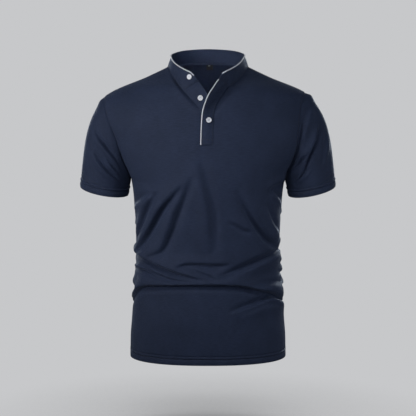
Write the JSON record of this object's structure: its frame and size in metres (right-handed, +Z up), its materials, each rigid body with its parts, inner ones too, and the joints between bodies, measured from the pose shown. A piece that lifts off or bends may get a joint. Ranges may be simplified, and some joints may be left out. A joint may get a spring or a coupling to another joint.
{
  "type": "polo shirt",
  "caption": "Short-sleeved knitted polo shirt with a stand collar, a short buttoned placket and piped edges, hollow as if worn.",
  "frame": {"origin": "middle of the neck opening, level with the high shoulder points, where the wearer's neck and shoulders hold the shirt up", "axes": "+Z up along the wearer's spine, +X to the wearer's left, +Y to the wearer's back; the chest and placket face -Y"},
  "size_m": [0.56, 0.24, 0.6725],
  "materials": {
    "navy_knit": "dark navy cotton knit, matt, with a fine even stitch and a faint sheen",
    "pale_piping": "off-white cotton cord piping, matt",
    "white_plastic": "white polyester resin, polished, faintly pearly",
    "label_black": "black woven tape, matt"
  },
  "bodies": {
    "root": {"front_panel": "navy_knit", "back_panel": "navy_knit", "sleeve_right": "navy_knit", "sleeve_left": "navy_knit", "collar_band": "navy_knit", "placket_over": "navy_knit", "placket_under": "navy_knit", "collar_piping": "pale_piping", "placket_piping": "pale_piping", "button_collar": "white_plastic", "button_middle": "white_plastic", "button_lower": "white_plastic", "neck_label": "label_black"}
  },
  "joints": []
}
